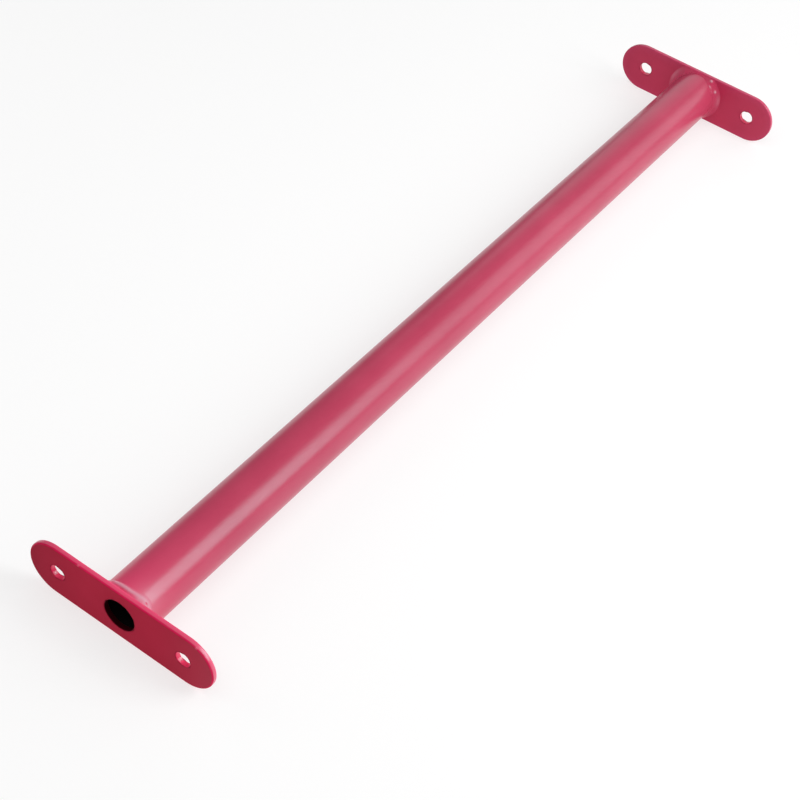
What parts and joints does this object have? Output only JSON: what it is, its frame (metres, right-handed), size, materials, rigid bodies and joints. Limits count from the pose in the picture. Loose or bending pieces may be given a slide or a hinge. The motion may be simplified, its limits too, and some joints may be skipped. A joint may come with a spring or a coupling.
{
  "type": "flanged hand bar",
  "caption": "Straight round steel hand bar with an obround flange plate welded across each end, drilled for bolting between two posts.",
  "frame": {"origin": "on the tube's axis, half way along it", "axes": "+X along the tube towards the right plate, +Y along the plates, +Z across the plates"},
  "size_m": [0.606, 0.12, 0.0344],
  "materials": {
    "powder_coat_tube": "semi-gloss raspberry-pink powder coat with a fine orange peel",
    "powder_coat_plate": "semi-gloss raspberry-pink powder coat, paler where it builds up on the edges",
    "powder_coat_weld": "semi-gloss raspberry-pink powder coat over a hand-made weld"
  },
  "bodies": {
    "root": {"grip_tube": "powder_coat_tube", "left_end_plate": "powder_coat_plate", "right_end_plate": "powder_coat_plate", "left_weld_bead": "powder_coat_weld", "right_weld_bead": "powder_coat_weld"}
  },
  "joints": []
}
